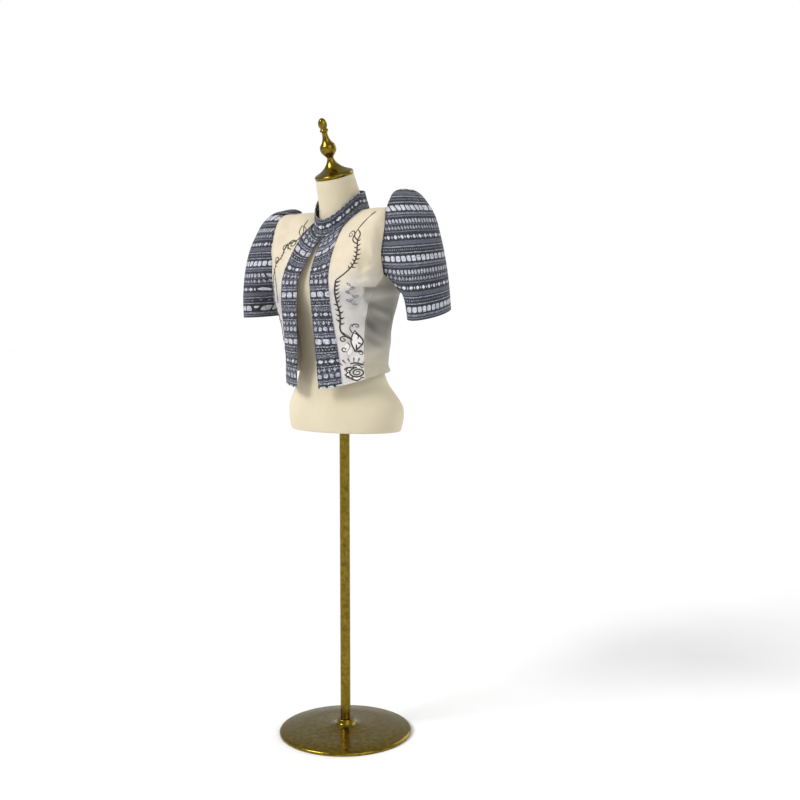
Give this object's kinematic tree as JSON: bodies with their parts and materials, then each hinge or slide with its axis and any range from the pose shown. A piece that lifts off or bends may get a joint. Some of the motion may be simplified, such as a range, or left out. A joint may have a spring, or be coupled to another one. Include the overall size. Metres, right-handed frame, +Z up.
{
  "type": "bolero jacket on a dress form",
  "caption": "Short open-front bolero jacket with a stand collar and tall flat gathered sleeves, worn by a limbless dress form on a pole and round base.",
  "frame": {"origin": "middle of the base's underside, on the floor", "axes": "+Z up, the jacket's front faces -Y, the wearer's left is +X"},
  "size_m": [0.6061, 0.33, 1.5044],
  "materials": {
    "embroidered_cloth": "fine off-white cloth with dark scrolling embroidery",
    "sheer_cloth": "thin sheer ecru cloth",
    "patterned_cloth": "woven-look cloth in rows of white, slate and navy",
    "linen": "beige linen stretched over the form",
    "brass": "polished brass"
  },
  "bodies": {
    "root": {"front_left": "embroidered_cloth", "front_right": "embroidered_cloth", "back": "sheer_cloth", "band_left": "patterned_cloth", "band_right": "patterned_cloth", "collar": "patterned_cloth", "sleeve_left": "patterned_cloth", "sleeve_right": "patterned_cloth", "form": "linen", "neck_cap": "brass", "pole": "brass", "base": "brass"}
  },
  "joints": []
}
